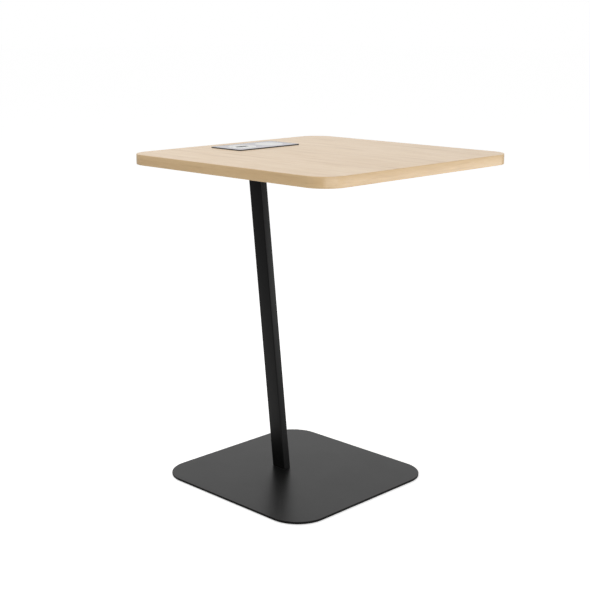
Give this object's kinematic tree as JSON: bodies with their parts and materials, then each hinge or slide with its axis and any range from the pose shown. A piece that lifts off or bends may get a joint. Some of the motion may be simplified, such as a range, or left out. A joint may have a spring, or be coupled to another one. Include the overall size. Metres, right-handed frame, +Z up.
{
  "type": "meeting table",
  "caption": "Small square meeting table: wood-faced top with a flush power module on a leaning steel post over a flat steel base plate.",
  "frame": {"origin": "on the floor, under the middle of the overall outline in plan", "axes": "+Z up; front (the user's side, away from the post) towards -Y; +X to the right seen from the front"},
  "size_m": [0.58, 0.5872, 0.7424],
  "materials": {
    "wood_sheet": "fine straight grain, satin",
    "edge_band": "wood-look band, satin",
    "board_core": "raw particle board and backing sheet",
    "brass": "turned",
    "zinc_steel": "bright zinc plate",
    "black_steel": "near-black powder coat",
    "charcoal_steel": "charcoal powder coat, satin",
    "rubber": "matt",
    "felt": "pressed felt",
    "black_plastic": "fine texture",
    "silver_face": "satin, lightly brushed",
    "pale_plastic": "pale grey, satin",
    "dark_plastic": "moulded",
    "circuit_board": "green solder mask",
    "copper": "enamelled copper winding",
    "ferrite": "sintered ferrite"
  },
  "bodies": {
    "root": {"base_plate": "charcoal_steel", "base_screw_1": "zinc_steel", "base_screw_2": "zinc_steel", "core_board": "board_core", "edge_band": "edge_band", "face_plate": "silver_face", "foot_block": "zinc_steel", "glide_pad_1": "felt", "glide_pad_2": "felt", "glide_pad_3": "felt", "glide_pad_4": "felt", "head_grommet": "rubber", "head_plate": "black_steel", "head_screw_1": "zinc_steel", "head_screw_2": "zinc_steel", "head_screw_3": "zinc_steel", "head_screw_4": "zinc_steel", "head_screw_5": "zinc_steel", "head_screw_6": "zinc_steel", "inlet_nut": "zinc_steel", "inlet_pin": "brass", "inlet_socket": "black_plastic", "lead_plug": "pale_plastic", "link_ribbon": "dark_plastic", "module_body": "black_plastic", "module_clip_1": "zinc_steel", "module_clip_2": "zinc_steel", "module_lid": "black_plastic", "module_screw_1": "zinc_steel", "module_screw_2": "zinc_steel", "module_screw_3": "zinc_steel", "module_screw_4": "zinc_steel", "pad_board": "circuit_board", "pad_coil": "copper", "pad_cover": "pale_plastic", "pad_ferrite": "ferrite", "post_tube": "black_steel", "supply_lead": "rubber", "threaded_insert_1": "brass", "threaded_insert_2": "brass", "threaded_insert_3": "brass", "threaded_insert_4": "brass", "threaded_insert_5": "brass", "threaded_insert_6": "brass", "top_laminate": "wood_sheet", "underside_laminate": "board_core", "usb_a_shell": "zinc_steel", "usb_a_tongue": "dark_plastic", "usb_board": "circuit_board", "usb_c_shell": "zinc_steel", "usb_c_tongue": "dark_plastic", "usb_insert": "pale_plastic"}
  },
  "joints": []
}
